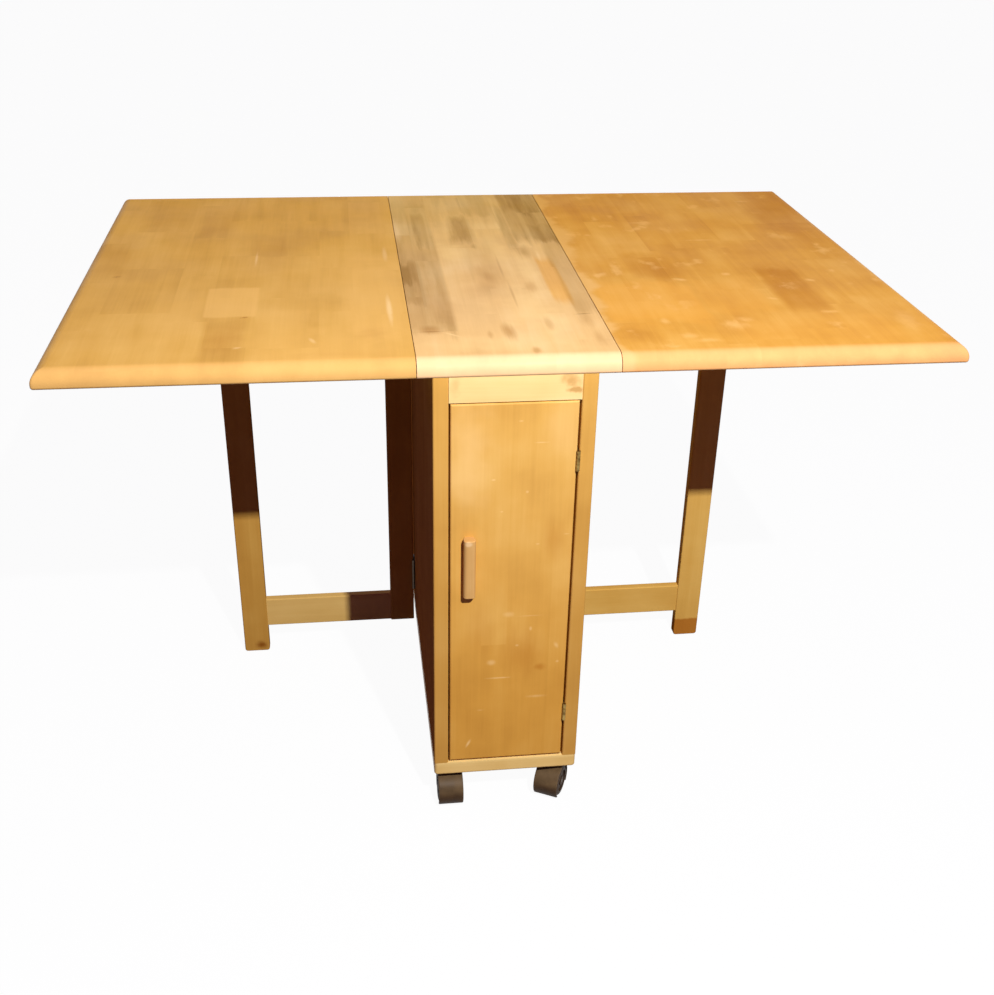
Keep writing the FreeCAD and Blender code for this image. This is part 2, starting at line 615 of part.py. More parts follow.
def caster_wheel():
    """One wheel, turned about Z, with its inner face at Z = 0 and a dished outer face."""
    body = new_body("Wheel")
    outline = sketch_on(body, "XZ_Plane")
    bore = size("axle_radius") + size("axle_room")
    hub = size("hub_radius")
    dish = size("dish_radius")
    rim = size("wheel_radius")
    width = size("wheel_width")
    floor = width - size("wheel_dish")
    polygon(outline, [(bore, 0), (rim, 0), (rim, width), (dish, width), (dish, floor), (hub, floor),
                      (hub, width), (bore, width)])
    for line in (2, 4, 6):
        outline.addConstraint(Sketcher.Constraint("Horizontal", line))
    for line in (1, 3, 5, 7):
        outline.addConstraint(Sketcher.Constraint("Vertical", line))
    outline.addConstraint(Sketcher.Constraint("PointOnObject", 0, 1, -1))
    outline.addConstraint(Sketcher.Constraint("PointOnObject", 1, 1, -1))
    for name, line, value, expression in (("bore", 7, bore, "@axle_radius + @axle_room"),
                                          ("hub", 5, hub, "@hub_radius"),
                                          ("edge", 3, dish, "@dish_radius"),
                                          ("rim", 1, rim, "@wheel_radius")):
        drive(outline, name, Sketcher.Constraint("DistanceX", -1, 1, line, 1, value), expression)
    drive(outline, "width", Sketcher.Constraint("DistanceY", 1, 1, 1, 2, width), "@wheel_width")
    drive(outline, "dish", Sketcher.Constraint("DistanceY", 3, 2, 3, 1, width - floor), "@wheel_dish")
    outline.addConstraint(Sketcher.Constraint("PointOnObject", 6, 1, 2))
    turned = body.newObject("PartDesign::Revolution", "Revolution")
    turned.Profile = outline
    turned.ReferenceAxis = (outline, ["V_Axis"])
    turned.Angle = 360
    for radius, face in (("@wheel_round", width), ("@wheel_inner_round", 0)):
        round_edges(body, radius,
                    lambda box: flat_at(box.ZMin, box.ZMax, face) and abs(box.XMax - rim) < NEAR)
    return body


def caster(label, x, y, turn):
    """A twin-wheel caster whose axle trails its stem, turned about the stem."""
    heading = f"(@{turn} - 90)"
    facing = Rotation(UP, size(turn) - 90)
    axle_x = f"{x} + @trail * cos({heading} * 1 deg)"
    axle_y = f"{y} + @trail * sin({heading} * 1 deg)"
    caster_plate(f"caster_plate_{label}", x, y)
    caster_stem(f"caster_stem_{label}", x, y)
    caster_hood(f"caster_hood_{label}", x, y, facing)
    wheels = []
    for tilt in (-90, 90):
        wheel = caster_wheel()
        across = f"{1 if tilt < 0 else -1} * (@web_thickness / 2 + @web_room)"
        place(wheel, f"{axle_x} - {across} * sin({heading} * 1 deg)",
              f"{axle_y} + {across} * cos({heading} * 1 deg)", "@wheel_radius",
              facing * Rotation(Vector(1, 0, 0), tilt))
        wheels.append(wheel)
    group(f"caster_wheels_{label}", wheels)
    holder = doc.addObject("Part::Compound", "Axle")
    holder.Links = [cylinder("@axle_radius", CASTER_WIDTH, f"-{CASTER_WIDTH} / 2")]
    place(holder, axle_x, axle_y, "@wheel_radius", facing * Rotation(Vector(1, 0, 0), -90))
    keep(holder, f"caster_axle_{label}")


centre_top()
for side, name, gate_y in ((-1, "left", "@gate_left_y"), (1, "right", "@gate_right_y")):
    leaf(side, name)
    leaf_hinges(side, name)
    stop_block(side, name, gate_y)
    gate(side, name, gate_y)
    gate_hinges(side, name, gate_y)
    side_panel(side, name)
    top_cleat(side, name)
bottom_board()
front_top_rail()
back_panel()
door_catch()
door_panel()
door_handle()
strike_plate()
door_hinges()
for end, end_name in ((-1, "front"), (1, "back")):
    for side, name in ((-1, "left"), (1, "right")):
        stem_x = f"{side} * ({HALF_CABINET} - @caster_inset_x)"
        stem_y = f"{end} * ({CABINET_END} - @caster_inset_y)"
        caster(f"{end_name}_{name}", stem_x, stem_y, f"turn_{end_name}_{name}")

doc.recompute()
failed = [item.Label for item in doc.Objects if {"Invalid", "Error"} & set(item.State)]
failed += [item.Label for item in pieces if item.Shape.isNull() or not item.Shape.isValid()]
if failed:
    raise RuntimeError("failed: " + ", ".join(failed))

os.makedirs("parts", exist_ok=True)
for item in pieces:
    item.Shape.exportStep(f"parts/{item.Label}.step")
print(f"{len(pieces)} sub-parts written")
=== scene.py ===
"""Looks of the folding serving table: varnished wood, worn hardware, studio light and camera.

Metres, +Z up, in the part's own frame: the door faces -Y and the leaves reach along -X and +X.
Tones are screen colours, 0 to 255. The tables of wear and of screws are in mm.
"""

import math

import bpy
from mathutils import Matrix, Vector


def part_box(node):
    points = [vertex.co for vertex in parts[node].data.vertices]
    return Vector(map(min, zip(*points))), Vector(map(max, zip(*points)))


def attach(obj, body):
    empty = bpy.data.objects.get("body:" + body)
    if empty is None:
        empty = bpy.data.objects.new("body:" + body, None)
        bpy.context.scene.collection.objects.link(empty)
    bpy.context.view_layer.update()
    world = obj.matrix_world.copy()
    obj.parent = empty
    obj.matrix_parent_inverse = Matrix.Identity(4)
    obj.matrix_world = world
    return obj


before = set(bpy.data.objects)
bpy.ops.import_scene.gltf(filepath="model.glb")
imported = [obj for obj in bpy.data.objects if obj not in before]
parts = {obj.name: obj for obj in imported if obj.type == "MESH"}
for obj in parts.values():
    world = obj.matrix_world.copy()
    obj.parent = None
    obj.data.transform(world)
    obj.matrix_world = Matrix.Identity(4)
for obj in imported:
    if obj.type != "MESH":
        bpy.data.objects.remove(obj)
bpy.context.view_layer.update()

SIDES = ("left", "right")
CORNERS = ("front_left", "front_right", "back_left", "back_right")
X, Y, Z = range(3)
MM = 0.001
WHITE = (1, 1, 1, 1)

top_low, top_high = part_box("centre_top")
door_low, door_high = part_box("door_panel")
TOP_FACE = top_high.z
FRONT_EDGE = top_low.y
SEAM = top_high.x
DOOR_FACE = door_low.y

# Where a cloudy noise passes from its dark to its light end.
CLOUD_LOW, CLOUD_HIGH = 0.3, 0.7


def srgb(red, green, blue):
    """A screen colour, 0 to 255, as the linear colour that a shader takes."""
    def linear(value):
        share = value / 255
        return share / 12.92 if share <= 0.04045 else ((share + 0.055) / 1.055) ** 2.4
    return (linear(red), linear(green), linear(blue), 1.0)


class Finish:
    """A procedural material while it is put together. Each call adds nodes and gives an output."""

    def __init__(self, name):
        self.material = bpy.data.materials.new(name)
        self.material.use_nodes = True
        self.tree = self.material.node_tree
        self.shader = self.tree.nodes["Principled BSDF"]
        self.place = self.node("ShaderNodeTexCoord").outputs["Object"]

    def node(self, kind, **settings):
        made = self.tree.nodes.new(kind)
        for name, value in settings.items():
            setattr(made, name, value)
        return made

    def feed(self, socket, value):
        """Link an output to a socket, or set the socket to a constant."""
        if isinstance(value, bpy.types.NodeSocket):
            self.tree.links.new(value, socket)
        else:
            socket.default_value = value

    def math(self, operation, first, second=0.0):
        made = self.node("ShaderNodeMath", operation=operation)
        self.feed(made.inputs[0], first)
        self.feed(made.inputs[1], second)
        return made.outputs[0]

    def add(self, first, second):
        return self.math("ADD", first, second)

    def times(self, first, second):
        return self.math("MULTIPLY", first, second)

    def axes(self, vector):
        made = self.node("ShaderNodeSeparateXYZ")
        self.feed(made.inputs[0], vector)
        return made.outputs[:3]

    def vector(self, x, y, z):
        made = self.node("ShaderNodeCombineXYZ")
        for socket, value in zip(made.inputs, (x, y, z)):
            self.feed(socket, value)
        return made.outputs[0]

    def stretched(self, vector, scale):
        made = self.node("ShaderNodeMapping")
        self.feed(made.inputs["Vector"], vector)
        made.inputs["Scale"].default_value = scale
        return made.outputs[0]

    def noise(self, vector, scale=1.0, detail=2.0, roughness=0.5, distortion=0.0):
        made = self.node("ShaderNodeTexNoise")
        self.feed(made.inputs["Vector"], vector)
        for name, value in (("Scale", scale), ("Detail", detail), ("Roughness", roughness),
                            ("Distortion", distortion)):
            made.inputs[name].default_value = value
        return made.outputs[0]

    def random(self, vector):
        made = self.node("ShaderNodeTexWhiteNoise", noise_dimensions="3D")
        self.feed(made.inputs["Vector"], vector)
        return made.outputs["Value"]

    def smooth(self, value, low, high, start=0.0, end=1.0):
        """A soft step from start to end while the value goes from low to high."""
        made = self.node("ShaderNodeMapRange", interpolation_type="SMOOTHSTEP")
        for name, given in (("Value", value), ("From Min", low), ("From Max", high),
                            ("To Min", start), ("To Max", end)):
            self.feed(made.inputs[name], given)
        return made.outputs["Result"]

    def mix(self, share, first, second, blend="MIX"):
        made = self.node("ShaderNodeMix", data_type="RGBA", blend_type=blend)
        sockets = (made.inputs[0], made.inputs[6], made.inputs[7])
        for socket, value in zip(sockets, (share, first, second)):
            self.feed(socket, value)
        return made.outputs[2]

    def ramp(self, value, *stops):
        made = self.node("ShaderNodeValToRGB")
        band = made.color_ramp
        band.elements[0].position, band.elements[0].color = stops[0]
        band.elements[1].position, band.elements[1].color = stops[-1]
        for position, colour in stops[1:-1]:
            band.elements.new(position).color = colour
        self.feed(made.inputs[0], value)
        return made.outputs[0]

    def clouded(self, cloud, dark, light):
        """Two tones that follow a cloudy noise."""
        return self.ramp(cloud, (CLOUD_LOW, srgb(*dark)), (CLOUD_HIGH, srgb(*light)))

    def spot(self, centre, reach, turn=(0, 0, 0), ragged=None, inner=0.35):
        """1 in the middle of an ellipsoid and 0 outside it, its edge made ragged by a noise."""
        made = self.node("ShaderNodeMapping", vector_type="TEXTURE")
        self.feed(made.inputs["Vector"], self.place)
        made.inputs["Location"].default_value = centre
        made.inputs["Rotation"].default_value = turn
        made.inputs["Scale"].default_value = reach
        far = self.node("ShaderNodeVectorMath", operation="LENGTH")
        self.feed(far.inputs[0], made.outputs[0])
        distance = far.outputs["Value"]
        if ragged is not None:
            distance = self.add(distance, ragged)
        return self.smooth(distance, inner, 1.0, 1.0, 0.0)

    def most(self, masks):
        """The largest of several masks."""
        whole = masks[0]
        for mask in masks[1:]:
            whole = self.math("MAXIMUM", whole, mask)
        return whole

    def bump(self, height, strength, distance):
        made = self.node("ShaderNodeBump")
        made.inputs["Strength"].default_value = strength
        made.inputs["Distance"].default_value = distance
        self.feed(made.inputs["Height"], height)
        self.feed(self.shader.inputs["Normal"], made.outputs[0])

    def finish(self, colour, roughness):
        self.feed(self.shader.inputs["Base Color"], colour)
        self.feed(self.shader.inputs["Roughness"], roughness)
        return self.material


# Wood: scales of its noises, per metre, across the fibres and along them.
FIBRE = (420.0, 13.0)
STREAK = (75.0, 2.6)
FIGURE = (21.0, 3.4)
RAGGED = (60.0, 9.0)
BRUSHED = (55.0, 5.0)
SPLINTER = (380.0, 70.0)
CRUMBLED = (90.0, 60.0)
MOTTLE = 11.0
SHEEN = 9.0

TONE_STOPS = (0.12, 0.5, 0.88)
WIDTH_RATE = 2.3
WIDTH_SHARE = 0.2
STAGGER = 9.0
FIBRE_JUMP = 40.0
MARK_DEPTH = 0.03
FIBRE_BUMP = 0.10
FIBRE_HEIGHT = 0.0005
SHINIER, DULLER = 0.05, 0.07
WORN_DULLER = 0.16
TOP_GLOSS = 0.012
CENTRE_GLOSS = 0.03


class Wood(Finish):
    """Varnished wood with its fibres along one axis."""

    def __init__(self, name, grain, tones, seed):
        super().__init__(name)
        self.grain = grain
        self.tones = [srgb(*tone) for tone in tones]
        self.seed = seed
        self.xyz = self.axes(self.place)
        self.shift = seed
        self.tone = None

    def along_grain(self, scales):
        """Coordinates that are stretched along the fibres, shifted from stave to stave."""
        across, along = scales
        scale = [across] * 3
        scale[self.grain] = along
        moved = self.node("ShaderNodeVectorMath", operation="ADD")
        self.feed(moved.inputs[0], self.stretched(self.place, scale))
        self.feed(moved.inputs[1], self.vector(self.shift, self.shift, self.shift))
        return moved.outputs[0]

    def staves(self, axis, start, width, length, contrast):
        """Glue the board up from staves of uneven width, cut into blocks of their own tone."""
        count = self.times(self.add(self.xyz[axis], -start), 1 / width)
        uneven = self.math("SINE", self.add(self.times(count, WIDTH_RATE), self.seed))
        count = self.add(count, self.times(uneven, WIDTH_SHARE))
        stave = self.math("FLOOR", count)
        offset = self.random(self.vector(stave, self.seed, 0.5))
        run = self.add(self.times(self.xyz[self.grain], 1 / length), self.times(offset, STAGGER))
        block = self.math("FLOOR", run)
        pick = self.random(self.vector(stave, block, self.seed))
        self.shift = self.times(pick, FIBRE_JUMP)
        self.tone = self.times(self.add(pick, -0.5), contrast)

    def colour(self, fibre=0.06, streak=0.11, figure=0.18, mottle=0.20):
        """The wood's own colour before any wear."""
        self.fine = self.noise(self.along_grain(FIBRE), detail=3.0)
        bands = self.noise(self.along_grain(STREAK), detail=3.0, distortion=0.4)
        clouds = self.noise(self.along_grain(FIGURE), detail=2.0)
        patches = self.noise(self.place, MOTTLE, detail=3.0)
        layers = ((self.fine, fibre), (bands, streak), (clouds, figure), (patches, mottle))
        value = 0.5
        for layer, share in layers:
            value = self.add(value, self.times(self.add(layer, -0.5), 2 * share))
        if self.tone is not None:
            value = self.add(value, self.tone)
        return self.ramp(value, *zip(TONE_STOPS, self.tones))

    def ragged(self, amount, scales=RAGGED):
        """A noise about zero that frays the edges of stains along the fibres."""
        frayed = self.noise(self.along_grain(scales), detail=5.0, roughness=0.6)
        return self.times(self.add(frayed, -0.5), amount)

    def wavy(self, amount, scale=24.0):
        """A slow noise about zero that makes the edges of soaked-in stains wander."""
        return self.times(self.add(self.noise(self.place, scale, detail=2.0), -0.5), amount)

    def zone(self, x_range, y_range, soft_x, soft_y, frayed):
        """1 in a stretch of a stave, fading at its sides and, more slowly, at its ends."""
        side = self.add(self.xyz[X], self.times(frayed, soft_x * MM))
        run = self.add(self.xyz[Y], self.times(frayed, 2 * soft_y * MM))
        walls = []
        for value, (low, high), soft in ((side, x_range, soft_x), (run, y_range, soft_y)):
            walls.append(self.smooth(value, (low - soft) * MM, (low + soft) * MM))
            walls.append(self.smooth(value, (high + soft) * MM, (high - soft) * MM))
        whole = walls[0]
        for wall in walls[1:]:
            whole = self.times(whole, wall)
        return whole

    def zones(self, table, frayed, blur=1.0):
        """The strongest of several zones of a table."""
        masks = []
        for x_range, y_range, soft_x, soft_y, strength in table:
            mask = self.zone(x_range, y_range, blur * soft_x, blur * soft_y, frayed)
            masks.append(self.times(mask, strength))
        return self.most(masks)

    def marks(self, table, face, frayed):
        """The strongest of several marks of a table, on the top or on the door's face."""
        masks = []
        for across, along, half_across, half_along, turn, strength in table:
            if face == "top":
                place = (across * MM, along * MM, TOP_FACE)
                reach = (half_across * MM, half_along * MM, MARK_DEPTH)
                angle = (0, 0, math.radians(turn))
            else:
                place = (across * MM, DOOR_FACE, along * MM)
                reach = (half_across * MM, MARK_DEPTH, half_along * MM)
                angle = (0, math.radians(turn), 0)
            mask = self.spot(place, reach, angle, frayed, inner=0.0)
            masks.append(self.times(mask, strength))
        return self.most(masks)

    def stained(self, colour, mask, stain):
        return self.mix(mask, colour, srgb(*stain), "MULTIPLY")

    def paled(self, colour, mask, tone, share=1.0):
        return self.mix(self.times(mask, share), colour, srgb(*tone))

    def varnish(self, colour, roughness=0.36, worn=None, gloss=0.05):
        """Satin varnish over the wood, duller where it is worn."""
        self.shader.inputs["Specular IOR Level"].default_value = gloss
        self.bump(self.fine, FIBRE_BUMP, FIBRE_HEIGHT)
        patches = self.noise(self.place, SHEEN, detail=3.0)
        spread = self.smooth(patches, CLOUD_LOW, CLOUD_HIGH,
                             roughness - SHINIER, roughness + DULLER)
        if worn is not None:
            spread = self.add(spread, self.times(worn, WORN_DULLER))
        return self.finish(colour, spread)


# Tones of the woods: dark, middle and light.
LEFT_TONES = ((186, 136, 54), (218, 168, 80), (238, 192, 106))
RIGHT_TONES = ((188, 122, 38), (217, 158, 64), (238, 188, 98))
CENTRE_TONES = ((204, 159, 94), (230, 188, 121), (246, 214, 157))
CABINET_TONES = ((190, 138, 62), (220, 170, 86), (238, 196, 116))
RAIL_TONES = ((224, 178, 104), (244, 208, 142), (254, 230, 176))
BOARD_TONES = ((200, 158, 88), (223, 185, 111), (244, 212, 142))
LEFT_GATE_TONES = ((164, 114, 46), (190, 140, 62), (212, 168, 86))
LEFT_GATE_RAIL_TONES = ((184, 142, 74), (212, 172, 98), (230, 194, 122))
RIGHT_GATE_TONES = ((186, 136, 58), (213, 166, 81), (232, 192, 108))
GATE_TONES = {"left": LEFT_GATE_TONES, "right": RIGHT_GATE_TONES}
GATE_RAIL_TONES = {"left": LEFT_GATE_RAIL_TONES, "right": RIGHT_GATE_TONES}
PULL_TONES = ((174, 128, 70), (204, 158, 94), (232, 197, 135))

# Tones mixed in: scratches and wear leave bare wood, and the front-edge and board-edge tones are
# painted highlights.
# Tone of the bottom board's upper edge: a painted highlight.
BOARD_EDGE_HIGHLIGHT = (255, 226, 150)
# Pale tones of the leaves' rounded front edges: painted highlights.
LEFT_EDGE_HIGHLIGHT = (214, 168, 114)
CENTRE_EDGE_HIGHLIGHT = (251, 212, 174)
RIGHT_EDGE_HIGHLIGHT = (248, 186, 150)
SCRATCH = (250, 214, 148)
FLAKE = (244, 196, 118)
WORN_PALE = (236, 190, 116)
LEFT_LIGHT = (240, 190, 104)
RIGHT_BRIGHT = (238, 170, 66)
CENTRE_BARE = (248, 212, 142)
DOOR_BARE = (246, 206, 138)
PULL_CHIP = (246, 214, 164)

# Stains, multiplied in.
LEFT_DARK_STAVE = (240, 234, 226)
LEFT_STAIN = (240, 230, 220)
SPECK = (206, 180, 150)
RIGHT_DARK_STAVE = (236, 224, 198)
RIGHT_STAIN = (242, 236, 228)
ORANGE_STAVE = (252, 234, 190)
CENTRE_STAIN = (244, 234, 226)
GRIME = (182, 171, 146)
BLOT = (220, 206, 184)
DARK_LINE = (206, 190, 168)
DOOR_FOOT = (243, 230, 198)
DOOR_SMUDGE = (226, 204, 176)
RAIL_SMUDGE = (214, 198, 177)
# Darkens the panels low down and a little all over: partly painted shade of their shaded sides.
PANEL_DARKENING = (230, 222, 208)
LEFT_FOOT = (190, 160, 130)
RIGHT_FOOT = (214, 178, 142)

# Yellowed varnish and a painted tint towards the back, multiplied in as linear colours: the tint
# stands in for the light's fall-off and hides the pale sheen there.
LEFT_YELLOW = (1.10, 1.05, 0.72, 1)
CENTRE_YELLOW = (1.08, 1.05, 0.66, 1)
RIGHT_YELLOW = (1.08, 1.02, 0.66, 1)
YELLOW_START, YELLOW_FULL = -0.20, 0.38

BAND_END, BAND_FULL = 0.022, 0.008
SCALLOP = (9, 13, 9)
SCALLOP_REACH = 0.026
SCALLOP_END, SCALLOP_FULL = 0.009, -0.008
SCALLOP_SHARE = 0.6
FLAKING = (30, 22, 30)
FLAKING_PATCH = 8.0
CENTRE_STAVES_SHIFT = 0.015

# Zones: x range, y range, softness of the sides and of the ends, strength.
# Marks: place across and along, half size across and along, turn in degrees, strength.
LEFT_LIGHT_ZONES = [
    ((-402, -332), (-224, -106), 2, 3, 1.0), ((-330, -262), (-330, -200), 3, 12, 0.4),
    ((-470, -402), (-300, -130), 4, 20, 0.35), ((-262, -196), (-130, 60), 4, 16, 0.3),
    ((-215, -128), (-340, 20), 12, 50, 0.9), ((-330, -140), (-420, -280), 20, 40, 0.6),
]
LEFT_DARK_ZONES = [
    ((-397, -344), (-380, -240), 3, 10, 0.6), ((-440, -385), (150, 290), 6, 26, 0.7),
    ((-210, -148), (215, 380), 6, 30, 0.55), ((-590, -520), (-20, 150), 8, 40, 0.4),
    ((-345, -300), (-30, 130), 5, 24, 0.35), ((-520, -450), (180, 330), 8, 30, 0.4),
]
LEFT_DARK_MARKS = [
    (-177, -300, 34, 30, 0, 0.8), (-370, -310, 30, 60, 0, 0.5), (-230, -366, 90, 14, 0, 0.4),
]
LEFT_SPECKS = [(-537, -45, 9, 6, 30, 0.6), (-347, -227, 9, 4, 20, 0.8)]
LEFT_SCRATCHES = [
    (-343, 25, 3, 52, 0, 0.8), (-154, -205, 5, 76, 0, 1), (-150, 40, 5, 48, 0, 0.5),
    (-350, -337, 8, 5, 20, 0.7), (-257, -318, 4, 13, 20, 0.6),
]

RIGHT_DARK_ZONES = [
    ((215, 285), (-105, 5), 5, 14, 0.8), ((400, 460), (-242, -60), 4, 12, 1.0),
    ((485, 560), (150, 300), 6, 26, 0.8), ((285, 340), (-60, 60), 6, 24, 0.4),
    ((150, 290), (270, 390), 10, 40, 0.4), ((520, 590), (-60, 140), 8, 40, 0.4),
    ((505, 640), (120, 420), 14, 50, 0.9),
]
RIGHT_BRIGHT_ZONES = [
    ((142, 282), (-285, -120), 5, 14, 0.8), ((282, 380), (-260, -120), 6, 20, 0.5),
    ((300, 520), (-372, -270), 8, 20, 0.35),
]
RIGHT_DARK_MARKS = [
    (168, -335, 34, 40, 0, 0.7), (431, -150, 36, 110, -12, 0.5), (515, 225, 60, 100, -12, 0.5),
]
RIGHT_SCRATCHES = [
    (278, -109, 16, 8, -20, 1), (352, -87, 9, 12, -30, 0.9), (303, -300, 26, 24, 0, 0.9),
    (232, -335, 18, 14, 0, 0.7), (322, -280, 16, 14, 0, 0.7), (359, 86, 34, 5, 0, 0.8),
    (212, -280, 9, 16, 0, 0.8), (471, -122, 11, 8, -30, 0.9), (500, 97, 26, 15, -20, 0.45),
    (499, 316, 15, 5, 0, 0.7), (251, -352, 26, 10, 0, 0.7), (276, 190, 18, 6, 0, 0.6),
    (451, -257, 20, 7, 0, 0.7), (388, -199, 14, 6, -20, 0.7), (182, 123, 10, 6, 0, 0.6),
    (545, -300, 20, 56, -8, 0.55), (570, -128, 8, 12, 0, 0.6),
]

CENTRE_GRIME_ZONES = [
    ((-150, -69), (-300, 150), 3, 22, 0.58), ((-150, -69), (60, 360), 5, 70, 0.55),
    ((-150, -98), (-215, 20), 7, 40, 0.8), ((-140, -104), (-120, 10), 8, 40, 1.1),
    ((-100, -69), (-290, -20), 4, 40, 0.66), ((-102, -76), (40, 270), 6, 50, 0.9),
    ((-150, 150), (210, 430), 10, 80, 0.3), ((60, 150), (95, 430), 6, 30, 0.8),
    ((72, 150), (230, 430), 8, 60, 1.0), ((86, 150), (90, 210), 6, 30, 0.95),
    ((46, 62), (40, 310), 6, 40, 0.65), ((98, 150), (-245, 110), 4, 24, 0.45),
    ((-14, 42), (240, 430), 9, 30, 0.5), ((-64, -24), (290, 430), 9, 40, 0.4),
    ((-38, -4), (100, 245), 10, 34, 0.8), ((-30, 18), (-130, 90), 12, 60, 0.2),
]
CENTRE_GRIME = [(-20, 150, 14, 80, 14, 0.8), (-9, 72, 10, 34, 0, 0.5), (66, 40, 14, 50, 0, 0.6)]
CENTRE_BROWN = [
    (-12, -80, 46, 150, 0, 0.5), (-84, -200, 30, 120, 0, 0.4), (5, -190, 30, 70, 0, 0.4),
]
CENTRE_BLOTS = [
    (-5, -75, 14, 50, 10, 0.35), (51, -128, 12, 30, 0, 0.5), (-2, -303, 14, 44, 6, 1),
    (55, -276, 9, 30, 0, 0.5), (107, -268, 14, 36, 0, 0.6), (-104, -290, 18, 20, 0, 0.9),
    (-28, -312, 6, 18, 0, 0.6), (24, -371, 9, 16, 0, 0.9), (-12, -135, 20, 40, 0, 0.25),
    (112, -340, 12, 40, 0, 0.5),
]
CENTRE_LINES = [
    (19, -40, 3, 80, 0, 0.45), (22, -160, 3, 80, 0, 0.5), (108, -243, 16, 3, 6, 0.9),
    (-104, -297, 26, 3, 2, 0.7),
]
CENTRE_ORANGE_ZONES = [((77, 104), (-190, 10), 3, 26, 1.0)]
CENTRE_PALE = [
    (40, -215, 66, 130, 0, 0.8), (-45, 40, 32, 70, 0, 0.6), (60, -60, 18, 110, 4, 0.7),
    (22, 60, 24, 140, 6, 0.5), (0, -345, 140, 44, 0, 0.5),
]
CENTRE_SCRATCHES = [
    (-78, -309, 22, 3.5, -40, 0.9), (86, 20, 4, 36, 0, 0.6), (-126, 160, 10, 90, 0, 0.6),
]

DOOR_SCRATCHES = [
    (37, 618, 12, 1.4, 0, 0.8), (-27, 565, 4, 2, 0, 0.9), (19, 545, 3, 3, 0, 0.7),
    (-15, 516, 3, 2, 0, 0.8), (76, 477, 6, 1.4, 0, 0.8), (36, 463, 4, 2, 0, 0.7),
    (8, 650, 4, 1.5, 0, 0.6), (-25, 267, 8, 6, 0, 0.6), (-12, 239, 24, 2, 0, 0.7),
    (-57, 121, 3, 11, 25, 1), (69, 292, 5, 9, -25, 0.7), (31, 323, 3, 5, 0, 0.6),
    (12, 295, 4, 3, 0, 0.6), (72, 263, 4, 3, 0, 0.6), (42, 202, 19, 4, 0, 0.55),
    (-40, 182, 8, 2, 0, 0.4), (30, 345, 30, 1.5, 0, 0.35), (-2, 349, 12, 6, 0, 0.45),
]
DOOR_PALE = [(-60, 600, 50, 120, 0, 0.45), (70, 640, 36, 60, 0, 0.25)]
DOOR_SMUDGES = [
    (45, 255, 14, 10, 0, 0.8), (20, 280, 40, 60, 0, 0.5), (60, 470, 26, 40, 0, 0.4),
    (-40, 330, 30, 60, 0, 0.3),
]
RAIL_SMUDGES = [
    (72, 706, 17, 15, 20, 0.9), (77, 692, 13, 6, 0, 1.6), (66, 711, 12, 6, 0, 0.6),
    (-78, 702, 9, 20, 0, 0.35),
]


def painted_edge_highlight(wood, colour, tone, share):
    """The rounded front edge, paled towards a whiter tone: a painted highlight."""
    edge = wood.smooth(wood.xyz[Y], FRONT_EDGE + BAND_END, FRONT_EDGE + BAND_FULL)
    return wood.paled(colour, edge, tone, share)


def seam_wear(wood):
    """Pale scallops where hands and cloths have worn a leaf along its seam."""
    from_seam = wood.add(wood.math("ABSOLUTE", wood.xyz[X]), -SEAM)
    scallop = wood.noise(wood.stretched(wood.place, SCALLOP), detail=4.0)
    scallop = wood.times(wood.smooth(scallop, 0.35, 0.7), -SCALLOP_REACH)
    worn = wood.smooth(wood.add(from_seam, scallop), SCALLOP_END, SCALLOP_FULL)
    return wood.times(worn, SCALLOP_SHARE)


def flaking(wood):
    """Scabs of flaked varnish, which come in patches."""
    scabs = wood.noise(wood.stretched(wood.place, FLAKING), detail=4.0)
    patches = wood.noise(wood.place, FLAKING_PATCH, detail=1.0)
    return wood.times(wood.smooth(scabs, 0.57, 0.72), wood.smooth(patches, 0.4, 0.6))


def yellowed_and_shaded_back(wood, colour, tint):
    """Yellower towards the back: partly yellowed varnish, partly painted shade of the light's
    fall-off, which also hides the pale sheen there.
    """
    # Partly painted shade: a tint that grows towards the back.
    far = wood.smooth(wood.xyz[Y], YELLOW_START, YELLOW_FULL)
    return wood.mix(far, colour, tint, "MULTIPLY")


def left_leaf_wood():
    """The left leaf, with one pale block and a few scratches."""
    wood = Wood("left leaf wood", Y, LEFT_TONES, seed=3.0)
    wood.staves(X, start=-SEAM, width=0.066, length=0.19, contrast=0.07)
    colour = wood.colour()
    soft = wood.wavy(1.2)
    colour = wood.stained(colour, wood.zones(LEFT_DARK_ZONES, soft, blur=1.8), LEFT_DARK_STAVE)
    colour = wood.stained(colour, wood.marks(LEFT_DARK_MARKS, "top", soft), LEFT_STAIN)
    colour = wood.paled(colour, wood.zones(LEFT_LIGHT_ZONES, soft, blur=1.4), LEFT_LIGHT, 0.5)
    splintered = wood.ragged(1.1, SPLINTER)
    colour = wood.stained(colour, wood.marks(LEFT_SPECKS, "top", splintered), SPECK)
    colour = painted_edge_highlight(wood, colour, LEFT_EDGE_HIGHLIGHT, 0.4)
    colour = yellowed_and_shaded_back(wood, colour, LEFT_YELLOW)
    scratches = wood.marks(LEFT_SCRATCHES, "top", wood.ragged(0.9))
    colour = wood.paled(colour, scratches, SCRATCH, 0.7)
    return wood.varnish(colour, worn=scratches, gloss=TOP_GLOSS)


